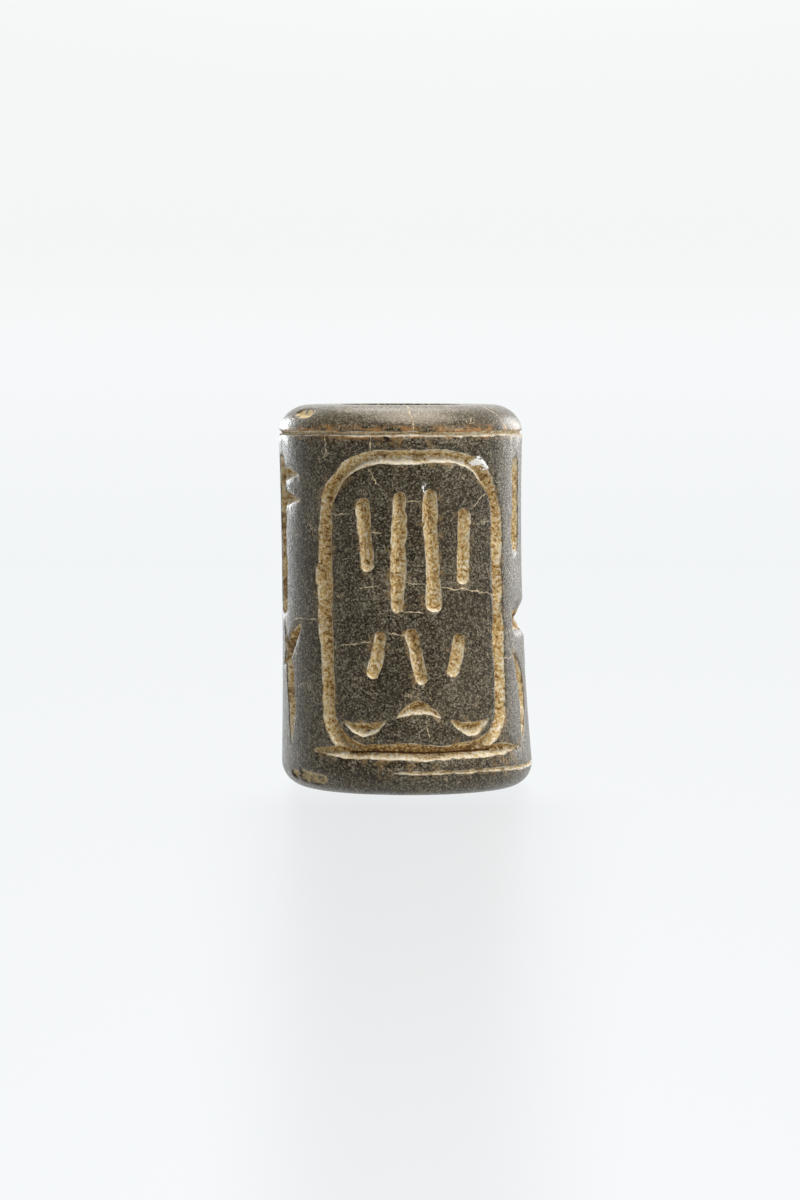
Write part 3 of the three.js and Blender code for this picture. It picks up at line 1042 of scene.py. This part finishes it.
def makeSpeckleGroup():
    tree, given, result = newTree("stoneSpeckle", "ShaderNodeTree", [("Place", "Vector")],
                                  [("Tone", "Float")])
    flecks = addNode(tree, "ShaderNodeTexVoronoi", {"Vector": given["Place"], "Scale": finish["fleckScale"]})
    patterns = {name: grain(tree, given["Place"], name) for name in ("grit", "clump", "cloud")}
    patterns["fleck"] = separate(tree, flecks.outputs["Color"])[0]
    tone = finish["middleTone"]
    for name, amount in finish["swings"].items():
        tone = swing(tree, patterns[name], amount, tone)
    plug(tree, tone, result["Tone"])
    return tree


def makeCrackGroup():
    names = ("Along", "Level", "Stray", "From", "From Level", "To", "To Level", "Width")
    tree, given, result = newTree("hairlineCrack", "ShaderNodeTree", [(name, "Float") for name in names],
                                  [("Mask", "Float")])
    run = minus(tree, given["Along"], given["From"])
    share = calc(tree, "DIVIDE", run, minus(tree, given["To"], given["From"]))
    rise = minus(tree, given["To Level"], given["From Level"])
    line = timesPlus(tree, share, rise, given["From Level"])
    offset = calc(tree, "ADD", minus(tree, given["Level"], line), given["Stray"])
    inside = times(tree, fade(tree, share, "crackStart"), fade(tree, share, "crackEnd"))
    core = times(tree, given["Width"], cracking["core"])
    near = remap(tree, calc(tree, "ABSOLUTE", offset), given["Width"], core)
    plug(tree, times(tree, near, inside), result["Mask"])
    return tree


def crackMasks(tree, crack, along, level, stray, lines, width):
    masks = 0.0
    for start, startLevel, end, endLevel in lines:
        inputs = {"Along": along, "Level": level, "Stray": stray, "From": start, "From Level": startLevel,
                  "To": end, "To Level": endLevel, "Width": width}
        masks = calc(tree, "MAXIMUM", addGroup(tree, crack, inputs)["Mask"], masks)
    return masks


def makeEarthGroup():
    inputs = [("Place", "Vector"), ("Lip", "Float"), ("Depth", "Float"), ("Up", "Float")]
    outputs = [("Mask", "Float"), ("Tone", "Float"), ("Height", "Float")]
    tree, given, result = newTree("earthFill", "ShaderNodeTree", inputs, outputs)
    place, depth = given["Place"], given["Depth"]
    grit = grain(tree, place, "earthGrit")
    height = separate(tree, place)[2]
    # painted shadow along the base bar: deep places just above the bar
    paintedBarShadow = times(tree, fade(tree, depth, "paintedBarShadowDepth"), fade(tree, height, "paintedBarShadowHeight"))
    tone = swing(tree, grit, earth["gritSwing"], earth["middleTone"])
    tone = swing(tree, grain(tree, place, "earthLumps"), earth["lumpSwing"], tone)
    # painted light and shade: the earth's tone follows how far its surface faces up
    tone = timesPlus(tree, given["Up"], earth["paintedLightFromAbove"], tone)
    # painted shade in the deep part of each cut
    tone = timesPlus(tree, fade(tree, depth, "paintedDeepShade"), earth["floor"], tone)
    tone = timesPlus(tree, paintedBarShadow, earth["paintedBarShadow"], tone)
    # painted light on the earth in the frame's top channel
    tone = timesPlus(tree, fade(tree, height, "frameTop"), earth["frameTop"], tone)
    edge = swing(tree, grain(tree, place, "earthEdge"), earth["edgeStray"], given["Lip"])
    plug(tree, fade(tree, edge, "earthEdge"), result["Mask"])
    plug(tree, tone, result["Tone"])
    plug(tree, grit, result["Height"])
    return tree


def polishedStone(tree, place, across, up, tone):
    wide, tall = finish["streakStretch"]
    grooves = combine(tree, times(tree, across, wide), times(tree, up, tall), 0.0)
    streaks = grain(tree, grooves, "streaks")
    scuffs = swing(tree, streaks, finish["streakSwing"], grain(tree, place, "scuffs"))
    roughness = swing(tree, scuffs, 2 * finish["scuff"], finish["polish"])
    rubbed = fade(tree, up, "rubbed")
    roughness = timesPlus(tree, rubbed, finish["rubbedPolish"], roughness)
    colour = toneRamp(tree, tone, finish["tones"])
    colour = tint(tree, times(tree, rubbed, finish["rubbedShare"]), colour, finish["rubbedColour"])
    return colour, roughness, streaks


def addStains(tree, colour, place, across, up, lip):
    stain = fade(tree, grain(tree, place, "stain"), "stain")
    stain = times(tree, remap(tree, lip, earth["stainReach"], 0.0), stain)
    colour = tint(tree, times(tree, stain, earth["stainShare"]), colour, earth["stain"])
    belt = times(tree, fade(tree, up, "beltAbove"), fade(tree, up, "beltBelow"))
    smear = grain(tree, combine(tree, across, times(tree, up, earth["smearStretch"]), 0.0), "smear")
    return tint(tree, times(tree, belt, fade(tree, smear, "smear")), colour, earth["ringStain"])


def crackPattern(tree, crack, place, across, up, stray):
    levels = crackMasks(tree, crack, across, up, stray, levelCracks, cracking["width"])
    cracks = calc(tree, "MAXIMUM", levels,
                  crackMasks(tree, crack, up, across, stray, standingCracks, cracking["width"]))
    bend = vectorCalc(tree, "SCALE", grain(tree, place, "webBend", "Color"), cracking["webBend"])
    inputs = {"Vector": vectorCalc(tree, "ADD", place, bend), "Scale": cracking["webScale"]}
    web = addNode(tree, "ShaderNodeTexVoronoi", inputs, feature="DISTANCE_TO_EDGE").outputs["Distance"]
    web = times(tree, fade(tree, web, "web"), fade(tree, grain(tree, place, "webPatch"), "webPatch"))
    cracks = calc(tree, "MAXIMUM", cracks, times(tree, web, cracking["webShare"]))
    return times(tree, cracks, fade(tree, grain(tree, place, "crackGap"), "crackGap"))


def addChips(tree, colour, roughness, place, chipDepth, tone):
    ragged = swing(tree, grain(tree, place, "chipEdge"), earth["chipStray"], chipDepth)
    broken = times(tree, fade(tree, ragged, "chipEdge"), fade(tree, chipDepth, "chipReach"))
    dirt = times(tree, fade(tree, grain(tree, place, "chipDirt"), "chipDirt"), earth["chipShare"])
    speckled = toneRamp(tree, calc(tree, "ADD", tone, earth["chipTone"]), finish["tones"])
    colour = blend(tree, broken, colour, tint(tree, dirt, speckled, earth["chip"]))
    return colour, timesPlus(tree, broken, earth["chipRoughness"], roughness)


def mixed(tree, mask, first, second):
    return timesPlus(tree, mask, minus(tree, second, first), first)


def addEarth(tree, colour, roughness, place, lip, fill):
    back = fade(tree, separate(tree, place)[1], "backLoss")
    lost = fade(tree, calc(tree, "ADD", grain(tree, place, "earthLoss"), back), "earthLoss")
    thin = toneRamp(tree, minus(tree, fill["Tone"], earth["lostTone"]), earth["tones"])
    full = toneRamp(tree, fill["Tone"], earth["tones"])
    colour = blend(tree, fill["Mask"], colour, blend(tree, lost, full, thin))
    fromRim = calc(tree, "ABSOLUTE", calc(tree, "ADD", lip, earth["lipWidth"]))
    worn = remap(tree, fromRim, *[earth["lipWidth"] * share for share in earth["lipFade"]])
    worn = times(tree, worn, fade(tree, grain(tree, place, "wornLip"), "wornLip"))
    colour = tint(tree, times(tree, worn, earth["lipShare"]), colour, earth["lip"])
    return colour, mixed(tree, fill["Mask"], roughness, earth["roughness"])


def addSpots(tree, colour, crack, place, across, up, stray):
    aside = swing(tree, grain(tree, place, "spotShift"), spotting["shift"], across)
    stray = times(tree, stray, spotting["stray"])
    spots = crackMasks(tree, crack, aside, up, stray, whiteSpots, spotting["width"])
    patchy = swing(tree, grain(tree, place, "spotPatch"), spotting["patch"], spots)
    spots = times(tree, fade(tree, patchy, "spotPatch"), fade(tree, spots, "spotReach"))
    return tint(tree, spots, colour, spotting["colour"])


def makeStoneMaterial():
    material = bpy.data.materials.new("wornSteatite")
    material.use_nodes = True
    tree = material.node_tree
    place = vectorCalc(tree, "SCALE", addNode(tree, "ShaderNodeTexCoord").outputs["Object"], 1 / mm)
    lip, depth, chipDepth, outside = [
        addNode(tree, "ShaderNodeAttribute", attribute_name=name).outputs["Fac"]
        for name in ("lipOffset", "cutDepth", "chipDepth", "outside")
    ]
    normalUp = separate(tree, addNode(tree, "ShaderNodeNewGeometry").outputs["Normal"])[2]
    sheet = addGroup(tree, makeWallSheetGroup(), {"Place": place})
    across, up = sheet["Across"], sheet["Up"]

    tone = addGroup(tree, makeSpeckleGroup(), {"Place": place})["Tone"]
    colour, roughness, streaks = polishedStone(tree, place, across, up, tone)
    colour = addStains(tree, colour, place, across, up, lip)
    crack = makeCrackGroup()
    stray = swing(tree, grain(tree, place, "crackStray"), cracking["stray"])
    cracks = crackPattern(tree, crack, place, across, up, stray)
    colour = tint(tree, cracks, colour, cracking["colour"])
    colour, roughness = addChips(tree, colour, roughness, place, chipDepth, tone)
    fill = addGroup(tree, makeEarthGroup(), {"Place": place, "Lip": lip, "Depth": depth, "Up": normalUp})
    colour, roughness = addEarth(tree, colour, roughness, place, lip, fill)
    colour = addSpots(tree, colour, crack, place, across, up, stray)
    inside = minus(tree, 1.0, outside)
    colour = blend(tree, inside, colour, toneRamp(tree, tone, finish["tones"]))
    roughness = mixed(tree, inside, roughness, finish["boreRoughness"])

    steep = minus(tree, 1.0, calc(tree, "ABSOLUTE", normalUp))
    height = times(tree, times(tree, streaks, steep), finish["streakHeight"])
    height = timesPlus(tree, tone, finish["grainHeight"], height)
    crumbs = times(tree, fill["Mask"], fill["Height"])
    height = timesPlus(tree, crumbs, earth["grainHeight"], height)
    height = timesPlus(tree, cracks, cracking["depth"], height)
    bump = addNode(tree, "ShaderNodeBump", {"Height": height, "Distance": mm, "Strength": 1.0})

    shader = tree.nodes["Principled BSDF"].inputs
    plug(tree, colour, shader["Base Color"])
    plug(tree, roughness, shader["Roughness"])
    plug(tree, bump.outputs["Normal"], shader["Normal"])
    shader["IOR"].default_value = finish["refraction"]
    shader["Specular IOR Level"].default_value = finish["sheen"]
    shader["Specular Tint"].default_value = finish["sheenTint"]
    return material


makeCamera()
makeStage()
makeLight()
print("studio made")
sealStone = makeSeal(makeStoneMaterial())
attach(sealStone, "root")
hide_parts("cylinder_seal")
